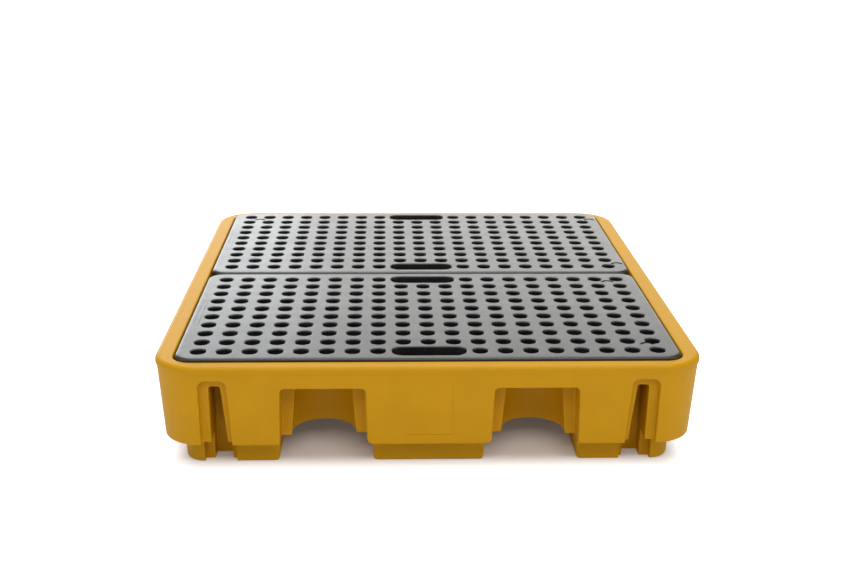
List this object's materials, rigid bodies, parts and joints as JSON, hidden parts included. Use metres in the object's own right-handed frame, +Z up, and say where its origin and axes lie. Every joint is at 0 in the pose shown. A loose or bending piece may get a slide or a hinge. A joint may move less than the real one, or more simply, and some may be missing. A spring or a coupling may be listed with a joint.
{
  "type": "spill containment pallet",
  "caption": "Low square spill containment pallet: yellow moulded sump base on feet with fork ways, and black perforated lift-out grates with handle slots.",
  "frame": {"origin": "on the floor, under the middle of the base", "axes": "+Z up, +Y towards the rear, the long way of the base, +X to the right along the front, which faces -Y"},
  "size_m": [1.285, 1.38, 0.27],
  "materials": {
    "base_polyethylene": "satin",
    "grate_polyethylene": "satin"
  },
  "bodies": {
    "base": {"sump_base": "base_polyethylene"},
    "front_grate": {"front_grate": "grate_polyethylene"},
    "rear_grate": {"rear_grate": "grate_polyethylene"}
  },
  "joints": [
    {"name": "front_grate_lift", "type": "slide", "parent": "base", "child": "front_grate", "axis": [0, 0, 1], "range_m": [0, 0.3]},
    {"name": "rear_grate_lift", "type": "slide", "parent": "base", "child": "rear_grate", "axis": [0, 0, 1], "range_m": [0, 0.3]}
  ]
}
